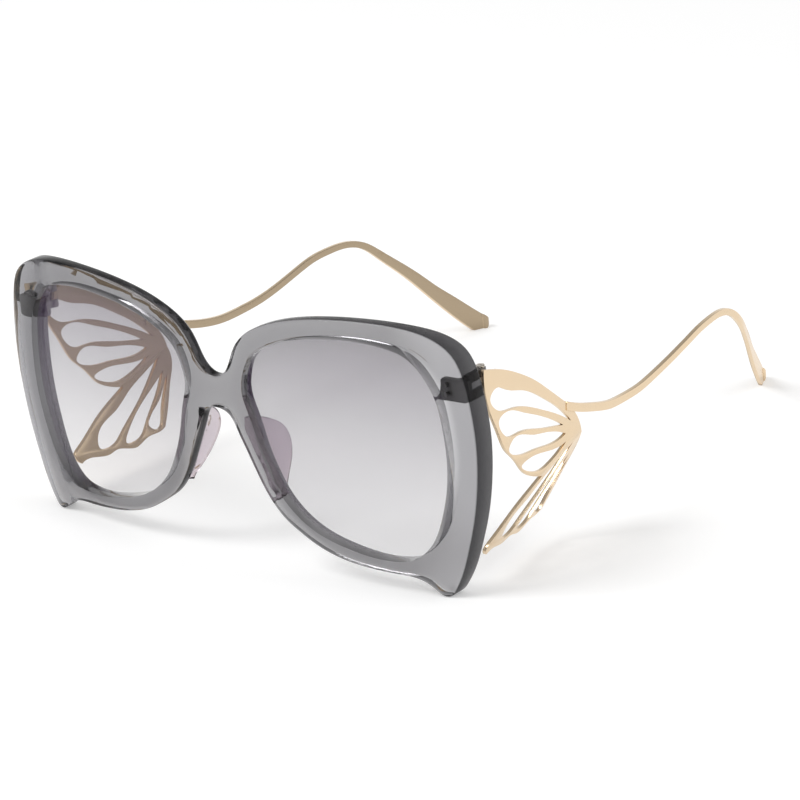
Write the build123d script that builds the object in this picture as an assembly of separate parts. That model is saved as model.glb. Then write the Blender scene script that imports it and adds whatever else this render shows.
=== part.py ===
from build123d import *
import math
import os

# Butterfly sunglasses, open, standing on the lower points of the front and the ends of the arms.
# Millimetres. X runs to the wearer's left, Y runs back along the temples and Z is up.
# A table whose name ends in shares holds fractions of the named sizes that it follows.

# Front: overall size, wrap and edges
front_width = 146.0
front_height = 66.9
wrap_sag = 7.8
rim_depth = 3.9
corner_depth = 7.2
front_edge_radius = 0.9
back_edge_radius = 0.7

# Lens opening, its groove and the lens
opening_side = 9.0
opening_width = 56.5
opening_bottom = 7.5
opening_height = 54.4
lens_inset = 2.0
lens_thickness = 1.6
lens_seat = 1.0
lens_clearance = 0.3

# Nose pad: a clear fin on the back of the rim beside the bridge
pad_bottom = 17.3
pad_height = 19.8
pad_reach = 8.8
pad_root_thickness = 2.6
pad_tip_thickness = 1.5
pad_overlap = 1.2

# Hinge: plate moulded into the front, its ears and pins, the screw and the temple leaf
hinge_inset = 4.8
hinge_setback = 3.2
hinge_height = 51.4
knuckle_radius = 1.3
knuckle_height = 2.0
knuckle_gap = 0.1
ear_thickness = 1.5
plate_width = 7.4
plate_height = 5.6
plate_thickness = 1.2
plate_cover = 3.2
plate_shift = 0.9
plate_corner = 1.1
plate_pin_radius = 0.55
plate_pin_length = 3.0
plate_pin_inset = 1.7
screw_radius = 0.6
screw_clearance = 0.05
screw_head_radius = 1.05
screw_head_height = 0.6
screw_slot_width = 0.3
screw_slot_depth = 0.3
leaf_setback = 1.7
leaf_length = 3.4
leaf_height = 3.0
leaf_drop = 0.6
leaf_depth = 1.2

# Wing: a thin sheet folded along one crease, with seven openings
wing_length = 38.3
wing_height = 48.8
wing_rise = 3.7
wing_gap = 0.7
wing_thickness = 0.9
wing_outset = 2.3
fore_toe_share = 0.072
fore_lean_share = 0.055
hind_toe_share = 0.175
hind_lean_share = 0.45
crease_start = 15.5

# Arm: a flat wire that waves over the ear and ends in a paddle
arm_run = 104.9
arm_tuck = 21.6
wire_thickness = 1.2
paddle_height = 4.6
paddle_bulge = 1.0

# Cuts run this far past what they cut
overrun = 2.0
# A face looks forward or back where its normal has at least this share along Y
facing_share = 0.5
# An edge is on the middle plane when it is nearer to it than this
middle_room = 0.1
quarter_turn = 90

# Derived places, with the face of the front's corners at Y zero
half_width = front_width / 2
hinge_x = half_width - hinge_inset
hinge_y = corner_depth + hinge_setback
wing_start = corner_depth + wing_gap
wing_bottom = hinge_height + wing_rise - wing_height
hinge_span = 3 * knuckle_height + 2 * knuckle_gap
plate_back = corner_depth - plate_cover
plate_x = hinge_x - ear_thickness / 2 - plate_shift
ear_step = knuckle_height + knuckle_gap

# Extra depth towards the corners: shares of half the width and of the extra depth
depth_shares = ((0, 0), (0.3, 0), (0.54, 0.02), (0.68, 0.1), (0.81, 0.32), (0.92, 0.8), (1.03, 1))

# Outline of the front's left half: shares of half the width and of the height
# Notch over the nose, brow and side, down to the foot
upper_shares = (
    (0, 0.704), (0.033, 0.713), (0.058, 0.738), (0.078, 0.779), (0.101, 0.831), (0.123, 0.862),
    (0.152, 0.889), (0.2, 0.919), (0.282, 0.953), (0.399, 0.981), (0.54, 0.997), (0.63, 1),
    (0.744, 0.996), (0.825, 0.983), (0.895, 0.955), (0.945, 0.91), (0.975, 0.833), (0.992, 0.726),
    (1, 0.575), (0.993, 0.459), (0.981, 0.368), (0.962, 0.274), (0.936, 0.178), (0.905, 0.084),
    (0.862, 0),
)
# The lower edge from the inner end of the foot's flat to under the bridge
lower_shares = (
    (0.83, 0), (0.803, 0.025), (0.775, 0.045), (0.734, 0.058), (0.662, 0.061), (0.589, 0.066),
    (0.514, 0.075), (0.438, 0.093), (0.363, 0.123), (0.288, 0.17), (0.245, 0.202), (0.21, 0.242),
    (0.179, 0.29), (0.149, 0.351), (0.122, 0.414), (0.101, 0.463), (0.084, 0.501), (0.068, 0.543),
    (0.051, 0.57), (0.023, 0.583), (0, 0.586),
)
# The lens opening: shares of its width and height, clockwise from its nose side
opening_shares = (
    (0.002, 0.7), (0.011, 0.748), (0.03, 0.805), (0.071, 0.862), (0.133, 0.905), (0.198, 0.935),
    (0.313, 0.971), (0.46, 0.994), (0.642, 1), (0.761, 0.986), (0.823, 0.969), (0.874, 0.938),
    (0.91, 0.899), (0.943, 0.846), (0.968, 0.792), (0.988, 0.699), (0.998, 0.588), (0.998, 0.469),
    (0.984, 0.357), (0.954, 0.241), (0.899, 0.114), (0.835, 0.044), (0.784, 0.015), (0.726, 0.003),
    (0.628, 0.002), (0.524, 0.018), (0.416, 0.045), (0.319, 0.083), (0.212, 0.16), (0.158, 0.224),
    (0.11, 0.314), (0.069, 0.419), (0.051, 0.487), (0.027, 0.577), (0.005, 0.651),
)
# Nose pad: shares of its height, of its reach, and of half the width at its root and its rear edge
pad_shares = (
    (0, 0.05, 0.203, 0.194), (0.09, 0.27, 0.185, 0.191), (0.23, 0.57, 0.161, 0.177),
    (0.38, 0.83, 0.143, 0.167), (0.54, 0.99, 0.121, 0.156), (0.64, 1, 0.108, 0.15),
    (0.74, 0.93, 0.095, 0.145), (0.9, 0.56, 0.078, 0.129), (1, 0.12, 0.064, 0.106),
)
# Outline of the wing: shares of its length and height
wing_top_shares = (
    (0, 1), (0.073, 0.982), (0.23, 0.936), (0.332, 0.895), (0.538, 0.793), (0.744, 0.66),
    (0.901, 0.551), (0.99, 0.443), (1, 0.34), (0.919, 0.238), (0.817, 0.121), (0.739, 0.043),
)
wing_foot_shares = (
    (0.739, 0.043), (0.674, 0.029), (0.593, 0.027), (0.467, 0), (0.332, 0.023), (0.266, 0.014),
    (0.11, 0.031), (0.044, 0.02),
)
wing_lead_shares = ((0.044, 0.02), (0.018, 0.059), (0.084, 0.098), (0.305, 0.197), (0.567, 0.287))
wing_front_shares = (
    (0.567, 0.287), (0.496, 0.305), (0.371, 0.361), (0.285, 0.449), (0.191, 0.529), (0.12, 0.641),
    (0.044, 0.77), (0.003, 0.883), (0, 1),
)
# The seven openings of the wing, each from its pointed rear end round and back to it
cell_shares = (
    (
        (0.896, 0.48), (0.828, 0.541), (0.736, 0.607), (0.619, 0.676), (0.501, 0.74), (0.371, 0.791),
        (0.219, 0.838), (0.104, 0.873), (0.055, 0.844), (0.104, 0.77), (0.311, 0.719),
        (0.567, 0.637), (0.896, 0.48),
    ),
    (
        (0.807, 0.484), (0.627, 0.576), (0.514, 0.623), (0.402, 0.666), (0.17, 0.721),
        (0.141, 0.711), (0.188, 0.609), (0.35, 0.58), (0.567, 0.535), (0.807, 0.484),
    ),
    (
        (0.83, 0.432), (0.749, 0.465), (0.619, 0.5), (0.47, 0.531), (0.251, 0.557), (0.222, 0.529),
        (0.305, 0.473), (0.504, 0.445), (0.773, 0.422), (0.83, 0.432),
    ),
    (
        (0.833, 0.391), (0.619, 0.4), (0.389, 0.416), (0.352, 0.408), (0.462, 0.34), (0.627, 0.33),
        (0.833, 0.391),
    ),
    (
        (0.914, 0.363), (0.723, 0.305), (0.595, 0.262), (0.441, 0.197), (0.23, 0.105),
        (0.214, 0.061), (0.308, 0.043), (0.418, 0.084), (0.648, 0.199), (0.914, 0.363),
    ),
    (
        (0.901, 0.299), (0.728, 0.221), (0.47, 0.088), (0.418, 0.037), (0.509, 0.027),
        (0.624, 0.086), (0.807, 0.213), (0.901, 0.299),
    ),
    (
        (0.919, 0.273), (0.864, 0.236), (0.775, 0.168), (0.634, 0.064), (0.684, 0.041),
        (0.765, 0.107), (0.84, 0.189), (0.888, 0.238), (0.919, 0.273),
    ),
)
# Where the arm leaves the wing: shares of the wing's length and height
seam_share = (0.849, 0.572)
# Path of the arm: shares of its run back, of the seam's height, and of its tuck towards the head
arm_shares = (
    (0, 1, 0), (0.049, 0.933, 0.01), (0.105, 0.871, 0.048), (0.181, 0.804, 0.09),
    (0.229, 0.784, 0.13), (0.311, 0.784, 0.157), (0.357, 0.798, 0.182), (0.442, 0.846, 0.21),
    (0.524, 0.908, 0.227), (0.568, 0.938, 0.245), (0.619, 0.952, 0.278), (0.669, 0.95, 0.315),
    (0.725, 0.896, 0.362), (0.777, 0.765, 0.42), (0.819, 0.636, 0.525), (0.854, 0.518, 0.62),
    (0.887, 0.395, 0.713), (0.922, 0.275, 0.806), (0.958, 0.154, 0.894), (1, 0.025, 1),
)
# Height of the wire along the arm: shares of its run and of the paddle's height
flare_shares = (
    (0, 0.45), (0.16, 0.45), (0.45, 0.36), (0.67, 0.35), (0.75, 0.4), (0.82, 0.5), (0.88, 0.63),
    (0.94, 0.91), (1, 1),
)


def placed(shares, width, height, start=0, bottom=0):
    """Share points as real points in a plane."""
    return [(start + across * width, bottom + up * height) for across, up in shares]


def mirrored(points):
    """The same points on the other side of the middle, in the reverse order."""
    return [(-across, up) for across, up in reversed(points)]


def looked_up(shares, at):
    """The second share at a first share, on straight lines between the rows."""
    for (low, value), (high, next_value) in zip(shares, shares[1:]):
        if at <= high:
            return value + (next_value - value) * (at - low) / (high - low)
    return shares[-1][1]


def face_back(share):
    """Y of the front's face at a share of half the width."""
    return wrap_sag * share ** 2 - wrap_sag


def wrap_line(depth, growth=0):
    """Plan curve of the front at a depth behind its face, deeper by a growth at the corners."""
    points = [(share * half_width, face_back(share) + depth + growth * deeper) for share, deeper in depth_shares]
    return Spline(*(mirrored(points[1:]) + points))


def wrapped_band(near, far, growth=0):
    """All of the wrapped front between two depths behind its face."""
    face_line = wrap_line(near)
    back_line = wrap_line(far, growth)
    sides = [Line(face_line @ 1, back_line @ 1), Line(back_line @ 0, face_line @ 0)]
    plan = make_face([face_line, back_line] + sides)
    return Pos(0, 0, -overrun) * extrude(plan, front_height + 2 * overrun, dir=(0, 0, 1))


def front_prism(face):
    """A face in front view run through the whole depth of the front."""
    return extrude(Plane.XZ * face, wrap_sag + corner_depth + overrun, both=True)


def outline_face():
    """Front view of the whole front without its lens openings."""
    upper = placed(upper_shares, half_width, front_height)
    lower = placed(lower_shares, half_width, front_height)
    edges = [Spline(*(mirrored(upper[1:]) + upper)), Spline(*(lower + mirrored(lower[:-1])))]
    for side in (1, -1):
        edges.append(Line((side * upper[-1][0], 0), (side * lower[0][0], 0)))
    return make_face(edges)


def pushed(points, steps, closed=False):
    """Points of a path moved to its left by a step each."""
    moved = []
    last = len(points) - 1
    for number, (across, up) in enumerate(points):
        before = points[number - 1] if number or closed else points[number]
        after = points[number + 1] if number < last else points[0] if closed else points[last]
        run = after[0] - before[0]
        rise = after[1] - before[1]
        scale = steps[number] / math.hypot(run, rise)
        moved.append((across - rise * scale, up + run * scale))
    return moved


def opening_face(grow=0):
    """Front view of the left lens opening, grown where something seats round it."""
    points = placed(opening_shares, opening_width, opening_height, opening_side, opening_bottom)
    return make_face(Spline(*pushed(points, [grow] * len(points), closed=True), periodic=True))


def both_sides(shape):
    """A left shape and its mirror image on the right."""
    return shape, shape.mirror(Plane.YZ)


def make_lens():
    """Curved lens, held in the groove of the rim."""
    return wrapped_band(lens_inset, lens_inset + lens_thickness) & front_prism(opening_face(lens_seat))


def make_groove():
    """Ring of space round the lens in the rim."""
    band = wrapped_band(lens_inset - lens_clearance, lens_inset + lens_thickness + lens_clearance)
    return band & front_prism(opening_face(lens_seat + lens_clearance))


def make_hinge_plate():
    """Plate moulded into the corner of the front, with the two ears that carry the screw."""
    outline = RectangleRounded(plate_width, plate_height, plate_corner)
    plate = extrude(Plane.XZ * outline, -plate_thickness)
    plate = Pos(plate_x, plate_back - plate_thickness, hinge_height) * plate
    ear_reach = hinge_y - plate_back
    for level in (-ear_step, ear_step):
        neck = Box(ear_thickness, ear_reach, knuckle_height, align=(Align.CENTER, Align.MAX, Align.CENTER))
        barrel = Cylinder(knuckle_radius, knuckle_height)
        plate += Pos(hinge_x, hinge_y, hinge_height + level) * (neck + barrel)
    for pin in make_pins():
        plate -= pin
    return plate - Pos(hinge_x, hinge_y, hinge_height) * Cylinder(screw_radius, hinge_span + 2 * overrun)


def make_pins():
    """The upper and lower pin that anchor the plate in the plastic."""
    centre_x = plate_x - plate_width / 2 + plate_pin_inset
    centre_y = plate_back - plate_thickness / 2
    drop = plate_height / 2 - plate_pin_inset
    pin = Rot(X=quarter_turn) * Cylinder(plate_pin_radius, plate_pin_length)
    return [Pos(centre_x, centre_y, hinge_height + side * drop) * pin for side in (1, -1)]


def make_screw():
    """Hinge screw with a slotted head on the top ear."""
    top = hinge_height + hinge_span / 2
    head = Pos(0, 0, screw_head_height / 2) * Cylinder(screw_head_radius, screw_head_height)
    slot = Pos(0, 0, screw_head_height) * Box(2 * knuckle_radius, screw_slot_width, 2 * screw_slot_depth)
    shank = Pos(0, 0, -hinge_span / 2) * Cylinder(screw_radius, hinge_span)
    return Pos(hinge_x, hinge_y, top) * (head - slot + shank)


def fore_x(y, z):
    """X of the middle of the wing's fore plane, which passes outside the hinge."""
    outer = hinge_x + wing_outset
    return outer - fore_toe_share * (y - hinge_y) + fore_lean_share * (z - hinge_height)


def crease_height(y):
    """Height of the crease at a place along the wing."""
    slope = (hind_toe_share - fore_toe_share) / (hind_lean_share - fore_lean_share)
    return crease_start + slope * (y - wing_start)


def make_slabs():
    """The two flat slabs that meet at the crease, the cut between them and the room outside."""
    far_y = wing_start + wing_length
    first = Vector(fore_x(wing_start, crease_start), wing_start, crease_start)
    last = Vector(fore_x(far_y, crease_height(far_y)), far_y, crease_height(far_y))
    along = (last - first).normalized()
    fore_normal = Vector(1, fore_toe_share, -fore_lean_share).normalized()
    hind_normal = Vector(1, hind_toe_share, -hind_lean_share).normalized()
    middle = (first + last) / 2
    cut = Plane(middle, x_dir=along, z_dir=fore_normal.cross(along) + hind_normal.cross(along))
    fore_plane = Plane(middle, x_dir=along, z_dir=fore_normal)
    hind_plane = Plane(middle, x_dir=along, z_dir=hind_normal)
    slab = Box(2 * wing_length, 2 * wing_height, wing_thickness)
    above = (Align.CENTER, Align.CENTER, Align.MIN)
    outside = Pos(0, 0, -wing_thickness / 2) * Box(2 * wing_length, 2 * wing_height, wing_height, align=above)
    return fore_plane * slab, hind_plane * slab, cut, fore_plane * outside


def wing_points(shares):
    """Share points of the wing in side view."""
    return placed(shares, wing_length, wing_height, wing_start, wing_bottom)


def side_prism(face):
    """A face in side view run across the left half."""
    return extrude(Plane.YZ * face, front_width)


def make_wing(arm):
    """Pierced and folded wing, notched at its rear top where the arm is joined on."""
    fore, hind, cut, outside = make_slabs()
    sheet = split(fore, bisect_by=cut, keep=Keep.TOP) + split(hind, bisect_by=cut, keep=Keep.BOTTOM)
    stretches = (wing_top_shares, wing_foot_shares, wing_lead_shares, wing_front_shares)
    wing = sheet & side_prism(make_face([Spline(*wing_points(shares)) for shares in stretches]))
    for shares in cell_shares:
        loop = Spline(*wing_points(shares))
        wing -= side_prism(make_face([loop.trim(0, 0.5), loop.trim(0.5, 1)]))
    return wing - arm


def strip(path, widths, bulge):
    """A flat band about a path, as wide at each point as the matching width, with a rounded far end."""
    left = pushed(path, [width / 2 for width in widths])
    right = pushed(path, [-width / 2 for width in widths])
    last = Vector(*path[-1])
    tip = last + (last - Vector(*path[-2])).normalized() * bulge
    ends = [Line(left[0], right[0]), ThreePointArc(right[-1], tip, left[-1])]
    return make_face([Spline(*left), Spline(*right)] + ends)


def make_arm():
    """Flat wire from the seam on the wing over the ear to the paddle that stands on the floor."""
    seam_y = wing_start + seam_share[0] * wing_length
    seam_z = wing_bottom + seam_share[1] * wing_height
    seam_x = fore_x(seam_y, seam_z)
    side_path = [(seam_y + along * arm_run, up * seam_z) for along, up, tuck in arm_shares]
    plan_path = [(seam_x - tuck * arm_tuck, seam_y + along * arm_run) for along, up, tuck in arm_shares]
    heights = [paddle_height * looked_up(flare_shares, along) for along, up, tuck in arm_shares]
    side = side_prism(strip(side_path, heights, paddle_bulge))
    plan = extrude(strip(plan_path, [wire_thickness] * len(arm_shares), overrun), front_height)
    return (side & plan).solid()


def make_temple_leaf():
    """Temple side of the hinge: the middle knuckle, and the leaf joined to the wing's inner face."""
    outward = (Align.MIN, Align.MIN, Align.CENTER)
    reach = wing_outset + overrun
    leaf = Box(reach, leaf_length, leaf_height, align=outward)
    leaf = Pos(wing_outset - wing_thickness - leaf_depth, leaf_setback, -leaf_drop) * leaf
    neck = Box(reach, leaf_setback + leaf_length, knuckle_height, align=outward)
    barrel = Cylinder(knuckle_radius, knuckle_height)
    bore = Cylinder(screw_radius + screw_clearance, hinge_span)
    outside = make_slabs()[3]
    return Pos(hinge_x, hinge_y, hinge_height) * (leaf + neck + barrel - bore) - outside


def back_of_front(x):
    """Y of the back of the front at a distance from the middle."""
    share = x / half_width
    return face_back(share) + rim_depth + (corner_depth - rim_depth) * looked_up(depth_shares, share)


def make_nose_pad(frame):
    """Fin that leans outwards to the rear, bonded to the back of the rim."""
    sections = []
    tip = pad_tip_thickness / 2
    for up, reach, root, rear in pad_shares:
        root_x = root * half_width
        rear_x = rear * half_width
        back = back_of_front(root_x)
        inner = (root_x, back - pad_overlap)
        outer = (root_x + pad_root_thickness, back - pad_overlap)
        rear_outer = (rear_x + tip, back + reach * pad_reach - tip)
        rear_inner = (rear_x - tip, back + reach * pad_reach - tip)
        crown = ThreePointArc(rear_outer, (rear_x, back + reach * pad_reach), rear_inner)
        edges = [Line(inner, outer), Line(outer, rear_outer), crown, Line(rear_inner, inner)]
        sections.append(Pos(0, 0, pad_bottom + up * pad_height) * make_face(edges))
    return (loft(sections) - frame).solids().sort_by(SortBy.VOLUME)[-1]


def make_half_front():
    """Left half of the moulded front: rounded outside, open and grooved for the lens."""
    band = wrapped_band(0, rim_depth, corner_depth - rim_depth)
    room = Box(front_width, front_width, front_width, align=(Align.MIN, Align.CENTER, Align.CENTER))
    half = ((band & front_prism(outline_face())).solid() & room).solid()
    for toward, radius in ((-1, front_edge_radius), (1, back_edge_radius)):
        broad = half.faces().filter_by(lambda face: toward * face.normal_at().Y > facing_share)
        edges = broad.sort_by(SortBy.AREA)[-1].outer_wire().edges()
        half = fillet(edges.filter_by(lambda edge: not lies_in_middle(edge)), radius)
    return half - front_prism(opening_face()) - make_groove()


def lies_in_middle(edge):
    """Whether an edge is on the plane where the two halves of the front meet."""
    return max(abs((edge @ place).X) for place in (0, 0.5, 1)) < middle_room


def make_front():
    """The whole front with room for its hinge plates and their pins."""
    front = make_half_front()
    front += front.mirror(Plane.YZ)
    for insert in [make_hinge_plate()] + make_pins():
        for side in both_sides(insert):
            front -= side
    return front


def main():
    arm = make_arm()
    front = make_front()
    upper_pin, lower_pin = make_pins()
    left_pieces = {
        "lens": make_lens(),
        "nose_pad": make_nose_pad(front),
        "hinge_plate": make_hinge_plate(),
        "plate_pins": upper_pin + lower_pin,
        "hinge_screw": make_screw(),
        "temple_hinge": make_temple_leaf(),
        "temple_wing": make_wing(arm),
        "temple_arm": arm,
    }
    pieces = {"front_frame": front}
    for name, shape in left_pieces.items():
        left, right = both_sides(shape)
        pieces[name + "_left"] = left
        pieces[name + "_right"] = right
    middle = Pos(0, (wrap_sag - arm.bounding_box().max.Y) / 2, 0)
    os.makedirs("parts", exist_ok=True)
    for name, shape in pieces.items():
        export_step(middle * shape, "parts/" + name + ".step")


main()
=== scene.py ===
import math

import bmesh
import bpy
import numpy as np
from mathutils import Matrix, Vector
from mathutils.geometry import delaunay_2d_cdt


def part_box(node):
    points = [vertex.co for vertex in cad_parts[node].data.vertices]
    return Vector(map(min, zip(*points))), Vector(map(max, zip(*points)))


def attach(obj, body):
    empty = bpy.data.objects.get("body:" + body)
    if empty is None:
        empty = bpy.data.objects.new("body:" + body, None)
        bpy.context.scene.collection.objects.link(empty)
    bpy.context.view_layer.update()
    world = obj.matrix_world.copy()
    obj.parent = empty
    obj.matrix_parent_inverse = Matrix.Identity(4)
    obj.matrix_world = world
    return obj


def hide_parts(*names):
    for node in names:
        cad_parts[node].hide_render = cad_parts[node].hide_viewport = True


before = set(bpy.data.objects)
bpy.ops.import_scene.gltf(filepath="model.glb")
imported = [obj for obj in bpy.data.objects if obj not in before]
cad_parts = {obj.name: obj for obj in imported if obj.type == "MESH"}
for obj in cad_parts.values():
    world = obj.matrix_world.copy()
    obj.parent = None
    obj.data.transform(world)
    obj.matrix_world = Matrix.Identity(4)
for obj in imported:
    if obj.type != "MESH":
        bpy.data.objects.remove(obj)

bl_info = {
    "name": "Butterfly Sunglasses",
    "version": (1, 0, 0),
    "blender": (4, 5, 0),
    "location": "View3D > Sidebar > Eyewear",
    "description": "Builds the finished pieces of a pair of butterfly sunglasses",
    "category": "Add Mesh",
}

MM = 0.001
SIDES = (("left", 1), ("right", -1))

# Sizes of the front in millimetres, and where the face of its corners is in the frame
HALF_WIDTH = 73.0
FRONT_HEIGHT = 66.9
WRAP_SAG = 7.8
RIM_DEPTH = 3.9
CORNER_DEPTH = 7.2
FACE_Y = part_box("front_frame")[0].y / MM + WRAP_SAG

# Lens opening: its distance from the middle and from the floor, and its size
OPENING_SIDE = 9.0
OPENING_WIDTH = 56.5
OPENING_BOTTOM = 7.5
OPENING_HEIGHT = 54.4

# Extra depth towards the corners, shares of half the width and of the extra depth
DEPTH_SHARES = ((0, 0), (0.3, 0), (0.54, 0.02), (0.68, 0.1), (0.81, 0.32), (0.92, 0.8), (1.03, 1))

# Upper and lower outline of the front, shares of half the width and of the height
UPPER_SHARES = (
    (0, 0.704), (0.033, 0.713), (0.058, 0.738), (0.078, 0.779), (0.101, 0.831), (0.123, 0.862),
    (0.152, 0.889), (0.2, 0.919), (0.282, 0.953), (0.399, 0.981), (0.54, 0.997), (0.63, 1),
    (0.744, 0.996), (0.825, 0.983), (0.895, 0.955), (0.945, 0.91), (0.975, 0.833), (0.992, 0.726),
    (1, 0.575), (0.993, 0.459), (0.981, 0.368), (0.962, 0.274), (0.936, 0.178), (0.905, 0.084),
    (0.862, 0),
)
LOWER_SHARES = (
    (0.83, 0), (0.803, 0.025), (0.775, 0.045), (0.734, 0.058), (0.662, 0.061), (0.589, 0.066),
    (0.514, 0.075), (0.438, 0.093), (0.363, 0.123), (0.288, 0.17), (0.245, 0.202), (0.21, 0.242),
    (0.179, 0.29), (0.149, 0.351), (0.122, 0.414), (0.101, 0.463), (0.084, 0.501), (0.068, 0.543),
    (0.051, 0.57), (0.023, 0.583), (0, 0.586),
)

# Outline of a lens opening, shares of its width and height
OPENING_SHARES = (
    (0.002, 0.7), (0.011, 0.748), (0.03, 0.805), (0.071, 0.862), (0.133, 0.905), (0.198, 0.935),
    (0.313, 0.971), (0.46, 0.994), (0.642, 1), (0.761, 0.986), (0.823, 0.969), (0.874, 0.938),
    (0.91, 0.899), (0.943, 0.846), (0.968, 0.792), (0.988, 0.699), (0.998, 0.588), (0.998, 0.469),
    (0.984, 0.357), (0.954, 0.241), (0.899, 0.114), (0.835, 0.044), (0.784, 0.015), (0.726, 0.003),
    (0.628, 0.002), (0.524, 0.018), (0.416, 0.045), (0.319, 0.083), (0.212, 0.16), (0.158, 0.224),
    (0.11, 0.314), (0.069, 0.419), (0.051, 0.487), (0.027, 0.577), (0.005, 0.651),
)

# Distances between points along the curves and over the surfaces, in millimetres
CURVE_STEP = 0.35
OUTLINE_STEP = 0.45
OPENING_STEP = 0.55
PLAN_STEP = 0.5
FACE_SPACING = 1.4
BACK_SPACING = 1.8
LENS_SPACING = 2.5
OUTLINE_EASINGS = 14

# A sheet's rows of triangles, and how far its own points keep from its edges, shares of the spacing
ROW_SHARE = 0.866
CLEAR_SHARE = 0.6

# The crowned face: its drop at the outline, how sharply it turns between the two openings, least span
FACE_DROP = 0.5
TURN_RATE = 0.6
LEAST_SPAN = 0.1

# Rounded edges: steps away from the outline or the opening, and depths from the face or the back
OUTER_FACE_STEPS = ((0.6, 0), (0.3, 0.05), (0.1, 0.2), (0, 0.45))
OUTER_BACK_STEPS = ((0, 1.0), (0.08, 0.6), (0.3, 0.25), (0.8, 0))
BEVEL_LEAD_STEPS = ((0.5, 0), (0, 0.01))
INNER_FACE_STEPS = ((0.35, 0), (0.12, 0.06), (0, 0.2))
INNER_BACK_STEPS = ((0, 0.3), (0.1, 0.1), (0.35, 0))
LENS_FRONT_STEPS = ((0.15, 0), (0.04, 0.1))
LENS_REAR_STEPS = ((0.04, -0.1), (0.15, 0))

# Joining of doubled points in metres, and the angles that mark an edge as sharp
DOUBLE_POINTS = 1e-6
CROSSING_POINTS = 1e-7
WOVEN_SHARP = math.radians(38)
CUT_SHARP = math.radians(40)
FLAT_ANGLE = math.radians(1)
ROUNDED_ANGLE = 0.8
ROUNDED_SEGMENTS = 3

# Clear plastic: how the painted shade on a side wall fades as the wall turns to the front, and where the
# deeper corners begin
WALL_SHADE_START = 0.3
WALL_SHADE_FADE = 0.45
CORNER_START = 52 * MM
CORNER_FADE = 14 * MM
CORNER_CLEAR = (0.97, 0.97, 0.98, 1.0)
PLASTIC_IOR = 1.2

# Nose pads: colour through them, the painted shade where their surface is seen edge-on and how fast it
# comes, and their absorption
PAD_CLEAR = (0.7, 0.63, 0.68, 1.0)
PAD_EDGE_SHADE = (0.1, 0.095, 0.1, 1.0)
PAD_EDGE_SHADE_POWER = 4.0
PAD_IOR = 1.3
PAD_TINT = (0.55, 0.5, 0.53, 1.0)
PAD_DENSITY = 160.0

# Gold: tone of its cooler patches and of the painted shade on the inner side of a temple, and how soon
# that shade begins
COOL_SHARE = 0.93
INNER_SHADE_SHARE = 0.5
INNER_SHADE_START = -60.0
GOLD_GRAIN = 0.08

# Lens: how the tint eases from the bottom to the top
TINT_EASE = 1.15
LENS_IOR = 1.5

# Stage: floor, surroundings and lamps with their place, power and size
WHITE = (1, 1, 1, 1)
FLOOR_REACH = 3.0
FLOOR_PAPER = (0.8, 0.8, 0.8, 1.0)
FLOOR_GLOW = 0.3
CEILING_START = 0.1
CEILING_FADE = 0.6
CEILING_DIM = 0.6
ROOM_LIGHT = 0.55
LAMPS = (
    ("key", (-0.5, -0.7, 1.1), 8.5, 0.6),
    ("fill", (0.9, 0.2, 0.9), 2.5, 0.8),
)
CLIP_END = 20


class FrontSettings(bpy.types.PropertyGroup):
    """Sizes of the moulded front that the eye notices."""

    crown: bpy.props.FloatProperty(
        name="Crown", description="How far the face rises from its outer edge to the lens openings",
        default=0.9 * MM, unit="LENGTH",
    )
    bevel_width: bpy.props.FloatProperty(
        name="Bevel Width", description="Width of the shallow bevel round each lens opening",
        default=1.8 * MM, unit="LENGTH",
    )
    bevel_depth: bpy.props.FloatProperty(
        name="Bevel Depth", description="Drop of the bevel towards the opening",
        default=0.3 * MM, unit="LENGTH",
    )
    pad_round: bpy.props.FloatProperty(
        name="Pad Rounding", description="Rounding of the edges of the nose pads",
        default=0.3 * MM, unit="LENGTH",
    )
    # Painted shade: how much of the near-black wall colour the walls of the lens openings take
    opening_wall_shade: bpy.props.FloatProperty(
        name="Opening Edge", description="How much the walls of the lens openings darken",
        default=0.72, subtype="FACTOR",
    )
    plastic_tint: bpy.props.FloatVectorProperty(
        name="Plastic Tint", description="Colour that the clear plastic keeps",
        default=(0.5, 0.495, 0.51), subtype="COLOR",
    )
    plastic_density: bpy.props.FloatProperty(
        name="Plastic Density", description="How fast the plastic darkens with depth",
        default=250.0, subtype="UNSIGNED",
    )
    rim_tint: bpy.props.FloatVectorProperty(
        name="Rim Tint", description="Colour that light keeps through the rims and the bridge",
        default=(0.6, 0.595, 0.605), subtype="COLOR",
    )
    # Painted shade: near-black colour painted on the side walls where they turn away from the front
    wall_shade: bpy.props.FloatVectorProperty(
        name="Wall Tint", description="Colour that light keeps through the side walls",
        default=(0.02, 0.0195, 0.0205), subtype="COLOR",
    )


class LensSettings(bpy.types.PropertyGroup):
    """Place, thickness and tint of the gradient lenses."""

    inset: bpy.props.FloatProperty(
        name="Inset", description="Depth of the lens behind the face", default=2.0 * MM, unit="LENGTH",
    )
    thickness: bpy.props.FloatProperty(
        name="Thickness", description="Thickness of the lens", default=1.6 * MM, unit="LENGTH",
    )
    tint: bpy.props.FloatVectorProperty(
        name="Tint", description="Colour of the lens tint", default=(0.1, 0.065, 0.125), subtype="COLOR",
    )
    top_share: bpy.props.FloatProperty(
        name="Top Strength", description="Strength of the tint at the top of the lens",
        default=0.48, subtype="FACTOR",
    )
    bottom_share: bpy.props.FloatProperty(
        name="Bottom Strength", description="Strength of the tint at the bottom of the lens",
        default=0.07, subtype="FACTOR",
    )


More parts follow.
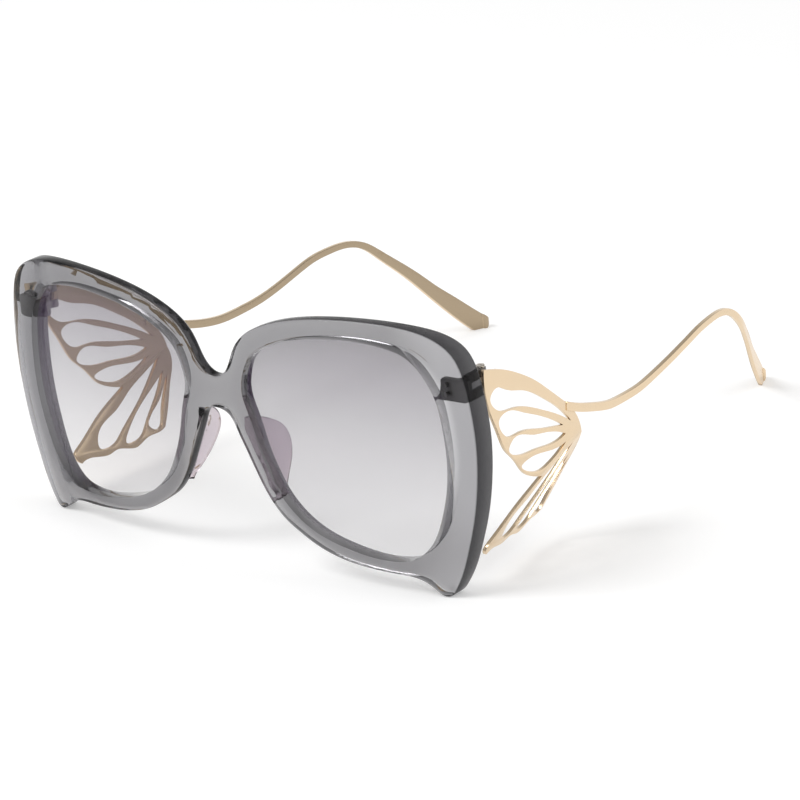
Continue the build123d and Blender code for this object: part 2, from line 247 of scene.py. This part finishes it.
class MetalSettings(bpy.types.PropertyGroup):
    """Finish of the gold temples and hinges."""

    gold: bpy.props.FloatVectorProperty(
        name="Gold", description="Colour of the pale gold plating",
        default=(0.83, 0.655, 0.45), subtype="COLOR",
    )
    gold_roughness: bpy.props.FloatProperty(
        name="Gold Roughness", description="Softness of the reflections on the gold",
        default=0.24, subtype="FACTOR",
    )
    edge_round: bpy.props.FloatProperty(
        name="Edge Rounding", description="Rounding of the cut edges of the wings",
        default=0.12 * MM, unit="LENGTH",
    )
    wire_round: bpy.props.FloatProperty(
        name="Wire Rounding", description="Rounding of the edges of the wire arms",
        default=0.3 * MM, unit="LENGTH",
    )
    hinge_round: bpy.props.FloatProperty(
        name="Hinge Rounding", description="Rounding of the edges of the small hinge pieces",
        default=0.08 * MM, unit="LENGTH",
    )


class StageSettings(bpy.types.PropertyGroup):
    """Camera and studio light."""

    azimuth: bpy.props.FloatProperty(
        name="Azimuth", description="Turn of the camera from the front",
        default=math.radians(41.54), subtype="ANGLE",
    )
    elevation: bpy.props.FloatProperty(
        name="Elevation", description="Height angle of the camera",
        default=math.radians(20.1), subtype="ANGLE",
    )
    roll: bpy.props.FloatProperty(
        name="Roll", description="Roll of the camera",
        default=math.radians(-5.8), subtype="ANGLE",
    )
    distance: bpy.props.FloatProperty(
        name="Distance", description="Distance of the camera from its aim",
        default=1308 * MM, unit="LENGTH",
    )
    target_back: bpy.props.FloatProperty(
        name="Target Back", description="How far the glasses' middle is behind the corners of the front",
        default=61.8 * MM, unit="LENGTH",
    )
    target_height: bpy.props.FloatProperty(
        name="Target Height", description="Height of the glasses' middle",
        default=29.7 * MM, unit="LENGTH",
    )
    aim_across: bpy.props.FloatProperty(
        name="Aim Across", description="How far the aim is left of the glasses' middle",
        default=1.16 * MM, unit="LENGTH",
    )
    aim_down: bpy.props.FloatProperty(
        name="Aim Down", description="How far the aim is under the glasses' middle",
        default=12.13 * MM, unit="LENGTH",
    )
    lens: bpy.props.FloatProperty(
        name="Lens", description="Focal length in millimetres", default=238.3, unit="CAMERA",
    )


class Socket:
    """A shader socket that does sums."""

    def __init__(self, tree, socket):
        self.tree = tree
        self.socket = socket

    def _sum(self, operation, *values):
        inputs = dict(enumerate(values))
        return Shader(self.tree).node("ShaderNodeMath", {"operation": operation}, inputs)

    def __add__(self, other):
        return self._sum("ADD", self, other)

    def __radd__(self, other):
        return self._sum("ADD", other, self)

    def __sub__(self, other):
        return self._sum("SUBTRACT", self, other)

    def __rsub__(self, other):
        return self._sum("SUBTRACT", other, self)

    def __mul__(self, other):
        return self._sum("MULTIPLY", self, other)

    def __rmul__(self, other):
        return self._sum("MULTIPLY", other, self)

    def __truediv__(self, other):
        return self._sum("DIVIDE", self, other)

    def __rtruediv__(self, other):
        return self._sum("DIVIDE", other, self)

    def __pow__(self, other):
        return self._sum("POWER", self, other)

    def __rpow__(self, other):
        return self._sum("POWER", other, self)

    def __abs__(self):
        return self._sum("ABSOLUTE", self)

    def at_most(self, other):
        """The lesser of two values."""
        return self._sum("MINIMUM", self, other)

    def at_least(self, other):
        """The greater of two values."""
        return self._sum("MAXIMUM", self, other)


class Shader:
    """A material's or world's node tree, built from values and sums."""

    def __init__(self, tree):
        self.tree = tree

    def node(self, kind, settings=None, inputs=None, output=0):
        """A node with its settings and the values or links of its inputs, and one of its outputs."""
        made = self.tree.nodes.new(kind)
        for name, value in (settings or {}).items():
            setattr(made, name, value)
        for name, value in (inputs or {}).items():
            if isinstance(value, Socket):
                self.tree.links.new(value.socket, made.inputs[name])
            else:
                made.inputs[name].default_value = value
        return Socket(self.tree, made.outputs[output])

    def place(self):
        """The place of a surface point on its own piece."""
        return self.node("ShaderNodeTexCoord", output="Object")

    def along(self, axis, vector):
        """A vector's X, Y or Z."""
        return self.node("ShaderNodeSeparateXYZ", None, {"Vector": vector}, output=axis)

    def noise(self, scale, detail):
        """Noise over the piece, from 0 to 1."""
        return self.node(
            "ShaderNodeTexNoise", None, {"Vector": self.place(), "Scale": scale, "Detail": detail},
        )

    def ripple(self, scale, detail, strength, distance):
        """A normal that faint waves tilt."""
        return self.node("ShaderNodeBump", None, {
            "Strength": strength, "Distance": distance, "Height": self.noise(scale, detail),
        }, output="Normal")

    def seen(self):
        """1 where the camera sees the stage directly, in a reflection or through a clear piece."""
        rays = [
            self.node("ShaderNodeLightPath", output=name)
            for name in ("Is Camera Ray", "Is Glossy Ray", "Is Transmission Ray")
        ]
        return rays[0].at_least(rays[1]).at_least(rays[2])

    def mix_colour(self, share, first, second):
        """A colour between two, by a share."""
        return self.node(
            "ShaderNodeMix", {"data_type": "RGBA"}, {0: share, 6: first, 7: second}, output=2,
        )

    def finish(self, surface, volume=None, kind="ShaderNodeOutputMaterial"):
        """Links the result to the tree's output node."""
        output = self.tree.nodes.new(kind)
        self.tree.links.new(surface.socket, output.inputs["Surface"])
        if volume:
            self.tree.links.new(volume.socket, output.inputs["Volume"])


def new_material(name):
    """An empty material and its shader."""
    material = bpy.data.materials.new(name)
    material.use_nodes = True
    material.node_tree.nodes.clear()
    return material, Shader(material.node_tree)


def colour(rgb):
    """A colour with full alpha."""
    return (rgb[0], rgb[1], rgb[2], 1.0)


def smoke_plastic():
    """Clear smoke-grey moulded plastic that darkens with depth, with painted shade on its side walls
    where they turn from the front.
    """
    settings = bpy.context.scene.front_settings
    material, shader = new_material("smoke_plastic")
    # Painted shade: walls turned away from the front take the near-black wall colour, weighted by the
    # edge attribute
    facing = abs(shader.along("Y", shader.node("ShaderNodeNewGeometry", output="Normal")))
    inside = shader.node("ShaderNodeNewGeometry", output="Backfacing")
    edge = shader.node("ShaderNodeAttribute", {"attribute_name": "edge"}, output="Fac")
    turned = ((facing - WALL_SHADE_START) / WALL_SHADE_FADE).at_least(inside).at_most(1.0)
    unshaded_share = 1.0 - (1.0 - turned) * edge
    across = abs(shader.along("X", shader.place()))
    corner = ((across - CORNER_START) / CORNER_FADE).at_least(0.0).at_most(1.0)
    clear = shader.mix_colour(corner, colour(settings.rim_tint), CORNER_CLEAR)
    surface = shader.node("ShaderNodeBsdfPrincipled", None, {
        "Base Color": shader.mix_colour(unshaded_share, colour(settings.wall_shade), clear),
        "Roughness": 0.02, "IOR": PLASTIC_IOR, "Transmission Weight": 1.0,
        "Normal": shader.ripple(scale=45.0, detail=2.0, strength=0.04, distance=0.4 * MM),
    })
    volume = shader.node("ShaderNodeVolumeAbsorption", None, {
        "Color": colour(settings.plastic_tint), "Density": settings.plastic_density,
    })
    shader.finish(surface, volume)
    return material


def gradient_tint():
    """Gradient lens: strong at the top and nearly clear at the bottom."""
    settings = bpy.context.scene.lens_settings
    material, shader = new_material("gradient_tint")
    low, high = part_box("lens_left")
    share = (shader.along("Z", shader.place()) - low.z) / (high.z - low.z)
    eased = share.at_least(0.0).at_most(1.0) ** TINT_EASE
    strength = eased * (settings.top_share - settings.bottom_share) + settings.bottom_share
    surface = shader.node("ShaderNodeBsdfPrincipled", None, {
        "Base Color": colour(settings.tint), "Roughness": 0.03, "IOR": LENS_IOR, "Alpha": strength,
    })
    shader.finish(surface)
    return material


def gold_plating():
    """Pale gold plating with a fine satin grain, with painted shade on the inner side of the temples."""
    settings = bpy.context.scene.metal_settings
    material, shader = new_material("gold_plating")
    warm, cool, shaded_gold = (
        colour([channel * share for channel in settings.gold]) for share in (1, COOL_SHARE, INNER_SHADE_SHARE)
    )
    # Painted shade: faces turned towards the middle of the glasses take the shaded gold
    turned = shader.along("X", shader.node("ShaderNodeTexCoord", output="Normal"))
    outwards = turned * shader.along("X", shader.place())
    inner = (outwards * INNER_SHADE_START).at_least(0.0).at_most(1.0)
    outer_tone = shader.mix_colour(shader.noise(scale=60.0, detail=2.0), warm, cool)
    grain = shader.noise(scale=900.0, detail=3.0) * GOLD_GRAIN
    surface = shader.node("ShaderNodeBsdfPrincipled", None, {
        "Base Color": shader.mix_colour(inner, outer_tone, shaded_gold),
        "Metallic": 1.0,
        "Roughness": grain + (settings.gold_roughness - GOLD_GRAIN / 2),
    })
    shader.finish(surface)
    return material


def pad_plastic():
    """Faintly grey clear plastic of the nose pads, with painted shade where its surface is seen edge-on.
    """
    material, shader = new_material("soft_clear_plastic")
    along = shader.node("ShaderNodeLayerWeight", None, {"Blend": 0.5}, output="Facing")
    surface = shader.node("ShaderNodeBsdfPrincipled", None, {
        # Painted shade: the pad turns near-black where its surface is seen edge-on
        "Base Color": shader.mix_colour(along ** PAD_EDGE_SHADE_POWER, PAD_CLEAR, PAD_EDGE_SHADE),
        "Roughness": 0.04, "IOR": PAD_IOR, "Transmission Weight": 1.0,
        "Normal": shader.ripple(scale=80.0, detail=1.0, strength=0.05, distance=0.3 * MM),
    })
    volume = shader.node("ShaderNodeVolumeAbsorption", None, {"Color": PAD_TINT, "Density": PAD_DENSITY})
    shader.finish(surface, volume)
    return material


def dull_metal(name, tone, roughness, scale):
    """Grey metal with a fine turned grain."""
    material, shader = new_material(name)
    surface = shader.node("ShaderNodeBsdfPrincipled", None, {
        "Base Color": colour(tone), "Metallic": 1.0,
        "Roughness": shader.noise(scale, detail=2.0) * 0.15 + roughness,
    })
    shader.finish(surface)
    return material


FINISHES = {}
MAKERS = {
    "smoke_plastic": smoke_plastic,
    "gradient_tint": gradient_tint,
    "gold_plating": gold_plating,
    "pad_plastic": pad_plastic,
    "dark_nickel": lambda: dull_metal("dark_nickel", (0.24, 0.235, 0.235), 0.3, 1200.0),
    "screw_steel": lambda: dull_metal("turned_steel", (0.62, 0.58, 0.52), 0.2, 1500.0),
}


def finish(name):
    """A finish by name, made when it is first asked for."""
    if name not in FINISHES:
        FINISHES[name] = MAKERS[name]()
    return FINISHES[name]


def through(points, closed=False, step=CURVE_STEP):
    """Points close together on a smooth curve through a few points."""
    given = np.array(points, float)
    count = len(given)
    links = count if closed else count - 1
    spans = np.array([np.linalg.norm(given[(i + 1) % count] - given[i]) for i in range(links)])
    system = np.zeros((count, count))
    target = np.zeros((count, 2))
    for i in range(count):
        if closed or 0 < i < count - 1:
            before, after = spans[i - 1], spans[i % links]
            system[i, i - 1] += after
            system[i, i] += 2 * (before + after)
            system[i, (i + 1) % count] += before
            rise_before = (given[i] - given[i - 1]) / before
            rise_after = (given[(i + 1) % count] - given[i]) / after
            target[i] = 3 * (after * rise_before + before * rise_after)
        else:
            other = 1 if i == 0 else count - 2
            span = spans[0] if i == 0 else spans[-1]
            sign = 1 if i == 0 else -1
            system[i, i] = 2
            system[i, other] = 1
            target[i] = 3 * sign * (given[other] - given[i]) / span
    slopes = np.linalg.solve(system, target)
    made = []
    for i in range(links):
        j = (i + 1) % count
        pieces = max(2, int(round(spans[i] / step)))
        for t in np.arange(pieces) / pieces:
            a = 2 * t ** 3 - 3 * t ** 2 + 1
            b = t ** 3 - 2 * t ** 2 + t
            c = -2 * t ** 3 + 3 * t ** 2
            d = t ** 3 - t ** 2
            made.append(a * given[i] + c * given[j] + (b * slopes[i] + d * slopes[j]) * spans[i])
    if not closed:
        made.append(given[-1])
    return np.array(made)


def placed(shares, width, height, start=0.0, bottom=0.0):
    """Share points in millimetres."""
    return [(start + across * width, bottom + up * height) for across, up in shares]


def mirrored(points):
    """The same points on the other side of the middle, in the reverse order."""
    return [(-across, up) for across, up in reversed(list(points))]


def evenly(loop, step):
    """A closed loop resampled to an even spacing."""
    ends = np.vstack([loop, loop[:1]])
    along = np.concatenate([[0], np.cumsum(np.linalg.norm(np.diff(ends, axis=0), axis=1))])
    count = int(round(along[-1] / step))
    places = np.linspace(0, along[-1], count, endpoint=False)
    return np.stack([np.interp(places, along, ends[:, 0]), np.interp(places, along, ends[:, 1])], -1)


def eased_loop(loop, rounds):
    """A closed loop with its corners softened."""
    for _ in range(rounds):
        loop = (np.roll(loop, 1, 0) + np.roll(loop, -1, 0) + 2 * loop) / 4
    return loop


def leftwards(loop):
    """Unit normals on the left of a closed loop."""
    run = np.roll(loop, -1, 0) - np.roll(loop, 1, 0)
    side = np.stack([-run[:, 1], run[:, 0]], -1)
    return side / np.linalg.norm(side, axis=1)[:, None]


def outline_loop():
    """Outline of the front, counter-clockwise in front view."""
    upper = placed(UPPER_SHARES, HALF_WIDTH, FRONT_HEIGHT)
    lower = placed(LOWER_SHARES, HALF_WIDTH, FRONT_HEIGHT)
    top = through(mirrored(upper[1:]) + upper)
    bottom = through(lower + mirrored(lower[:-1]))
    loop = np.vstack([bottom, top])[::-1]
    return eased_loop(evenly(loop, OUTLINE_STEP), OUTLINE_EASINGS)


def opening_loop(sign):
    """Outline of a lens opening, counter-clockwise in front view."""
    points = placed(OPENING_SHARES, OPENING_WIDTH, OPENING_HEIGHT, OPENING_SIDE, OPENING_BOTTOM)
    loop = evenly(through(points, closed=True), OPENING_STEP)[::-1]
    return loop if sign > 0 else (loop * (-1, 1))[::-1]


def plan_curve(depth, growth):
    """Depth of a wrapped surface for any place across the front."""
    right = []
    for share, deeper in DEPTH_SHARES:
        back = WRAP_SAG * (share ** 2 - 1)
        right.append((share * HALF_WIDTH, FACE_Y + back + depth + growth * deeper))
    curve = through(mirrored(right[1:]) + right, step=PLAN_STEP)
    return lambda x: np.interp(x, curve[:, 0], curve[:, 1])


def distance_to(points, loop):
    """Shortest distance from each point to a closed loop's own points."""
    gaps = []
    for start in range(0, len(points), 500):
        block = points[start:start + 500]
        gaps.append(np.sqrt(((block[:, None, :] - loop[None]) ** 2).sum(-1)).min(1))
    return np.concatenate(gaps)


def within(points, loop):
    """Whether each point is inside a closed loop."""
    x, y = points[:, 0], points[:, 1]
    inside = np.zeros(len(points), bool)
    for (ax, ay), (bx, by) in zip(loop, np.roll(loop, -1, 0)):
        crosses = (ay > y) != (by > y)
        with np.errstate(divide="ignore", invalid="ignore"):
            meets = (bx - ax) * (y - ay) / (by - ay) + ax
        inside ^= crosses & (x < meets)
    return inside


class Weave:
    """Collects the points and faces of one mesh."""

    def __init__(self):
        self.points = []
        self.wall_shade_shares = []
        self.faces = []

    def ring(self, flat, depth, edge=1.0):
        """A ring of points from a loop in front view, its depth and how much painted wall shade it
        takes.
        """
        first = len(self.points)
        for (x, z), y in zip(flat, np.broadcast_to(depth, len(flat))):
            self.points.append((x * MM, y * MM, z * MM))
            self.wall_shade_shares.append(edge)
        return list(range(first, len(self.points)))

    def band(self, ring, next_ring, flip=False):
        """Faces between two rings of as many points."""
        count = len(ring)
        for i in range(count):
            j = (i + 1) % count
            face = (ring[i], ring[j], next_ring[j], next_ring[i])
            self.faces.append(face[::-1] if flip else face)

    def seen_from_front(self, ring):
        """A ring's points in front view, in millimetres."""
        return np.array([(self.points[i][0] / MM, self.points[i][2] / MM) for i in ring])

    def sheet(self, outer_ring, holes, depth_of, spacing, flip=False):
        """Fills the room between an outer ring and holes with triangles at a given depth."""
        outer = self.seen_from_front(outer_ring)
        inner = [self.seen_from_front(hole) for hole in holes]
        low, high = outer.min(0), outer.max(0)
        rows = np.arange(low[1], high[1], spacing * ROW_SHARE)
        grid = []
        for number, up in enumerate(rows):
            shift = spacing / 2 if number % 2 else 0
            grid.extend((across, up) for across in np.arange(low[0] + shift, high[0], spacing))
        grid = np.array(grid)
        keep = within(grid, outer) & (distance_to(grid, outer) > spacing * CLEAR_SHARE)
        for loop in inner:
            keep &= ~within(grid, loop) & (distance_to(grid, loop) > spacing * CLEAR_SHARE)
        grid = grid[keep]
        loops = [outer_ring] + list(holes)
        flat = np.vstack([outer] + inner + [grid])
        links = []
        start = 0
        for loop in loops:
            links.extend((start + i, start + (i + 1) % len(loop)) for i in range(len(loop)))
            start += len(loop)
        known = [index for loop in loops for index in loop]
        for (x, z), y in zip(grid, depth_of(grid)):
            known.append(len(self.points))
            self.points.append((x * MM, y * MM, z * MM))
            self.wall_shade_shares.append(1.0)
        corners = [Vector(point) for point in flat]
        made, _, faces, _, _, _ = delaunay_2d_cdt(corners, links, [], 1, CROSSING_POINTS)
        if len(made) != len(flat):
            raise RuntimeError("the sheet's outline crosses itself")
        middles = np.array([np.mean([flat[i] for i in face], axis=0) for face in faces])
        bad = np.zeros(len(faces), bool)
        for loop in inner:
            bad |= within(middles, loop)
        for face, wrong in zip(faces, bad):
            if not wrong:
                face = [known[i] for i in face]
                self.faces.append(face[::-1] if flip else face)

    def build(self, name, material):
        """The mesh as an object."""
        mesh = bpy.data.meshes.new(name)
        mesh.from_pydata(self.points, [], self.faces)
        # The edge attribute holds how much painted wall shade each point takes
        mesh.attributes.new("edge", "FLOAT", "POINT").data.foreach_set("value", self.wall_shade_shares)
        mesh.validate()
        mesh.update()
        shell = bmesh.new()
        shell.from_mesh(mesh)
        bmesh.ops.remove_doubles(shell, verts=shell.verts, dist=DOUBLE_POINTS)
        bmesh.ops.recalc_face_normals(shell, faces=shell.faces)
        shell.to_mesh(mesh)
        shell.free()
        for polygon in mesh.polygons:
            polygon.use_smooth = True
        mesh.set_sharp_from_angle(angle=WOVEN_SHARP)
        mesh.materials.append(material)
        piece = bpy.data.objects.new(name, mesh)
        bpy.context.scene.collection.objects.link(piece)
        return piece


def make_front():
    """The moulded front with its crowned face and bevelled openings."""
    settings = bpy.context.scene.front_settings
    crown = settings.crown / MM
    bevel = settings.bevel_width / MM
    drop = settings.bevel_depth / MM
    face = plan_curve(0, 0)
    back = plan_curve(RIM_DEPTH, CORNER_DEPTH - RIM_DEPTH)
    outline = outline_loop()
    inward = leftwards(outline)
    openings = [opening_loop(sign) for _, sign in SIDES]

    def face_depth(flat):
        to_left = distance_to(flat, openings[0]) * ~within(flat, openings[0])
        to_right = distance_to(flat, openings[1]) * ~within(flat, openings[1])
        near = -np.log(np.exp(-TURN_RATE * to_left) + np.exp(-TURN_RATE * to_right)) / TURN_RATE
        edge = distance_to(flat, outline)
        share = np.clip(near, 0, None) / np.maximum(near + edge, LEAST_SPAN)
        return face(flat[:, 0]) + FACE_DROP - crown * np.cos(np.clip(share, 0, 1) * math.pi / 2)

    weave = Weave()
    # Outer wall rings take the full painted wall shade
    outer = []
    for step, sink in OUTER_FACE_STEPS:
        flat = outline + inward * step
        outer.append(weave.ring(flat, face_depth(flat) + sink))
    for step, rise in OUTER_BACK_STEPS:
        flat = outline + inward * step
        outer.append(weave.ring(flat, back(flat[:, 0]) - rise))
    for ring, next_ring in zip(outer, outer[1:]):
        weave.band(ring, next_ring)
    into_opening = [(bevel + step, sink) for step, sink in BEVEL_LEAD_STEPS]
    into_opening += [(step, drop + sink) for step, sink in INNER_FACE_STEPS]
    holes = []
    back_holes = []
    for opening in openings:
        away = -leftwards(opening)
        rings = []
        # Opening wall rings take only part of the painted wall shade
        for step, sink in into_opening:
            flat = opening + away * step
            rings.append(weave.ring(flat, face_depth(flat) + sink, settings.opening_wall_shade))
        for step, rise in INNER_BACK_STEPS:
            flat = opening + away * step
            rings.append(weave.ring(flat, back(flat[:, 0]) - rise, settings.opening_wall_shade))
        for ring, next_ring in zip(rings, rings[1:]):
            weave.band(ring, next_ring, flip=True)
        holes.append(rings[0])
        back_holes.append(rings[-1])
    weave.sheet(outer[0], holes, face_depth, FACE_SPACING)
    weave.sheet(outer[-1], back_holes, lambda flat: back(flat[:, 0]), BACK_SPACING, flip=True)
    piece = weave.build("moulded_front", finish("smoke_plastic"))
    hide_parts("front_frame")
    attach(piece, "front")


def make_lens(side, sign):
    """A curved gradient lens set just inside its opening."""
    settings = bpy.context.scene.lens_settings
    front = plan_curve(settings.inset / MM, 0)
    rear = plan_curve((settings.inset + settings.thickness) / MM, 0)
    opening = opening_loop(sign)
    inward = leftwards(opening)
    weave = Weave()
    rings = []
    for surface, steps in ((front, LENS_FRONT_STEPS), (rear, LENS_REAR_STEPS)):
        for step, sink in steps:
            flat = opening + inward * step
            rings.append(weave.ring(flat, surface(flat[:, 0]) + sink))
    for ring, next_ring in zip(rings, rings[1:]):
        weave.band(ring, next_ring)
    weave.sheet(rings[0], [], lambda flat: front(flat[:, 0]), LENS_SPACING)
    weave.sheet(rings[-1], [], lambda flat: rear(flat[:, 0]), LENS_SPACING, flip=True)
    piece = weave.build("gradient_lens_" + side, finish("gradient_tint"))
    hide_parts("lens_" + side)
    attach(piece, "front")


def rounded(node, name, body, look, offset):
    """A copy of a CAD node with its sharp edges rounded, which stands for it."""
    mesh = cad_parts[node].data.copy()
    mesh.name = name
    shell = bmesh.new()
    shell.from_mesh(mesh)
    bmesh.ops.remove_doubles(shell, verts=shell.verts, dist=DOUBLE_POINTS)
    bmesh.ops.dissolve_limit(shell, angle_limit=FLAT_ANGLE, verts=shell.verts, edges=shell.edges)
    edges = [
        edge for edge in shell.edges
        if len(edge.link_faces) == 2 and edge.calc_face_angle() > ROUNDED_ANGLE
    ]
    bmesh.ops.bevel(
        shell, geom=edges, offset=offset, segments=ROUNDED_SEGMENTS, profile=0.5, affect="EDGES",
        clamp_overlap=True,
    )
    shell.to_mesh(mesh)
    shell.free()
    mesh.materials.clear()
    mesh.materials.append(finish(look))
    for polygon in mesh.polygons:
        polygon.use_smooth = True
    mesh.set_sharp_from_angle(angle=CUT_SHARP)
    piece = bpy.data.objects.new(name, mesh)
    bpy.context.scene.collection.objects.link(piece)
    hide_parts(node)
    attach(piece, body)


class EYEWEAR_OT_front(bpy.types.Operator):
    """Builds the moulded front"""

    bl_idname = "eyewear.front"
    bl_label = "Moulded Front"

    def execute(self, context):
        make_front()
        return {"FINISHED"}


class EYEWEAR_OT_lenses(bpy.types.Operator):
    """Builds the two gradient lenses"""

    bl_idname = "eyewear.lenses"
    bl_label = "Gradient Lenses"

    def execute(self, context):
        for side, sign in SIDES:
            make_lens(side, sign)
        return {"FINISHED"}


class EYEWEAR_OT_pads(bpy.types.Operator):
    """Builds the two clear nose pads"""

    bl_idname = "eyewear.pads"
    bl_label = "Nose Pads"

    def execute(self, context):
        rounding = context.scene.front_settings.pad_round
        for side, _ in SIDES:
            rounded(
                "nose_pad_" + side, "clear_pad_" + side,
                "front", "pad_plastic", rounding,
            )
        return {"FINISHED"}


class EYEWEAR_OT_wings(bpy.types.Operator):
    """Builds the two pierced wings"""

    bl_idname = "eyewear.wings"
    bl_label = "Butterfly Wings"

    def execute(self, context):
        rounding = context.scene.metal_settings.edge_round
        for side, _ in SIDES:
            rounded(
                "temple_wing_" + side, "pierced_wing_" + side,
                "temple_" + side, "gold_plating", rounding,
            )
        return {"FINISHED"}


class EYEWEAR_OT_arms(bpy.types.Operator):
    """Builds the two waved wire arms"""

    bl_idname = "eyewear.arms"
    bl_label = "Wire Arms"

    def execute(self, context):
        rounding = context.scene.metal_settings.wire_round
        for side, _ in SIDES:
            rounded(
                "temple_arm_" + side, "waved_arm_" + side,
                "temple_" + side, "gold_plating", rounding,
            )
        return {"FINISHED"}


class EYEWEAR_OT_hinges(bpy.types.Operator):
    """Builds the plates, pins, screws and leaves of the two hinges"""

    bl_idname = "eyewear.hinges"
    bl_label = "Screw Hinges"

    def execute(self, context):
        rounding = context.scene.metal_settings.hinge_round
        for side, _ in SIDES:
            temple = "temple_" + side
            for node, name, slot, body, look in (
                ("hinge_plate_", "cast_plate_", "hinge_metal", "front", "dark_nickel"),
                ("plate_pins_", "bedded_pins_", "hinge_metal", "front", "dark_nickel"),
                ("hinge_screw_", "slotted_screw_", "screw_metal", "front", "screw_steel"),
                ("temple_hinge_", "hinge_leaf_", "gold_metal", temple, "gold_plating"),
            ):
                rounded(node + side, name + side, body, look, rounding)
        return {"FINISHED"}


class EYEWEAR_OT_stage(bpy.types.Operator):
    """Builds the pale floor, the soft light and the camera"""

    bl_idname = "eyewear.stage"
    bl_label = "Studio Stage"

    def execute(self, context):
        make_floor()
        make_light()
        make_camera()
        return {"FINISHED"}


def make_floor():
    """White floor that keeps the object's shadow."""
    mesh = bpy.data.meshes.new("floor")
    quarters = ((-1, -1), (1, -1), (1, 1), (-1, 1))
    mesh.from_pydata([(x * FLOOR_REACH, y * FLOOR_REACH, 0) for x, y in quarters], [], [(0, 1, 2, 3)])
    floor = bpy.data.objects.new("floor", mesh)
    bpy.context.scene.collection.objects.link(floor)
    material, shader = new_material("floor_paper")
    paper = shader.node("ShaderNodeBsdfDiffuse", None, {"Color": FLOOR_PAPER})
    glow = shader.node("ShaderNodeEmission", None, {
        "Color": WHITE, "Strength": shader.seen() * FLOOR_GLOW,
    })
    surface = shader.node("ShaderNodeAddShader", None, {0: paper, 1: glow})
    shader.finish(surface)
    mesh.materials.append(material)


def make_light():
    """Even white surroundings and two large soft lamps."""
    world = bpy.data.worlds.new("studio")
    bpy.context.scene.world = world
    world.use_nodes = True
    world.node_tree.nodes.clear()
    shader = Shader(world.node_tree)
    seen = shader.seen()
    rise = shader.along("Z", shader.node("ShaderNodeTexCoord", output="Generated"))
    ceiling = ((rise - CEILING_START) / CEILING_FADE).at_least(0.0).at_most(1.0)
    straight = shader.node("ShaderNodeLightPath", output="Is Camera Ray")
    shown = 1.0 - (1.0 - straight) * ceiling * CEILING_DIM
    strength = seen * shown + (1.0 - seen) * ROOM_LIGHT
    surface = shader.node("ShaderNodeBackground", None, {"Color": WHITE, "Strength": strength})
    shader.finish(surface, kind="ShaderNodeOutputWorld")
    for name, place, power, size in LAMPS:
        lamp = bpy.data.lights.new(name, "AREA")
        lamp.energy = power
        lamp.size = size
        holder = bpy.data.objects.new(name, lamp)
        holder.location = place
        holder.rotation_euler = (-Vector(place)).to_track_quat("-Z", "Y").to_euler()
        bpy.context.scene.collection.objects.link(holder)


def make_camera():
    """Camera at the photograph's angle."""
    settings = bpy.context.scene.stage_settings
    turn, lift, roll = settings.azimuth, settings.elevation, settings.roll
    back = Vector((math.sin(turn) * math.cos(lift), -math.cos(turn) * math.cos(lift), math.sin(lift)))
    level = Vector((math.cos(turn), math.sin(turn), 0))
    upright = back.cross(level)
    across = level * math.cos(roll) + upright * math.sin(roll)
    up = upright * math.cos(roll) - level * math.sin(roll)
    target = Vector((0, FACE_Y + settings.target_back / MM, settings.target_height / MM)) * MM
    place = target + back * settings.distance
    back = (place - (target - across * settings.aim_across - up * settings.aim_down)).normalized()
    across = (across - back * across.dot(back)).normalized()
    up = back.cross(across)
    camera = bpy.data.cameras.new("camera")
    camera.lens = settings.lens
    camera.clip_end = CLIP_END
    holder = bpy.data.objects.new("camera", camera)
    holder.matrix_world = Matrix.Translation(place) @ Matrix((across, up, back)).transposed().to_4x4()
    bpy.context.scene.collection.objects.link(holder)
    bpy.context.scene.camera = holder


class EYEWEAR_PT_panel(bpy.types.Panel):
    """Lists the pieces of the sunglasses"""

    bl_idname = "EYEWEAR_PT_panel"
    bl_label = "Butterfly Sunglasses"
    bl_space_type = "VIEW_3D"
    bl_region_type = "UI"
    bl_category = "Eyewear"

    def draw(self, context):
        for operator in OPERATORS:
            self.layout.operator(operator.bl_idname)
        for name in SETTINGS:
            box = self.layout.box()
            settings = getattr(context.scene, name)
            for key in settings.bl_rna.properties.keys():
                if key not in ("rna_type", "name"):
                    box.prop(settings, key)


SETTINGS = {
    "front_settings": FrontSettings,
    "lens_settings": LensSettings,
    "metal_settings": MetalSettings,
    "stage_settings": StageSettings,
}
OPERATORS = (
    EYEWEAR_OT_front, EYEWEAR_OT_lenses, EYEWEAR_OT_pads, EYEWEAR_OT_wings, EYEWEAR_OT_arms,
    EYEWEAR_OT_hinges, EYEWEAR_OT_stage,
)
CLASSES = tuple(SETTINGS.values()) + OPERATORS + (EYEWEAR_PT_panel,)


def register():
    for cls in CLASSES:
        bpy.utils.register_class(cls)
    for name, cls in SETTINGS.items():
        setattr(bpy.types.Scene, name, bpy.props.PointerProperty(type=cls))


def unregister():
    for name in SETTINGS:
        delattr(bpy.types.Scene, name)
    for cls in reversed(CLASSES):
        bpy.utils.unregister_class(cls)


def main():
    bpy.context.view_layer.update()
    register()
    bpy.context.scene.view_settings.view_transform = "Standard"
    bpy.ops.eyewear.front()
    bpy.ops.eyewear.lenses()
    bpy.ops.eyewear.pads()
    bpy.ops.eyewear.wings()
    bpy.ops.eyewear.arms()
    bpy.ops.eyewear.hinges()
    bpy.ops.eyewear.stage()


if __name__ == "__main__":
    main()
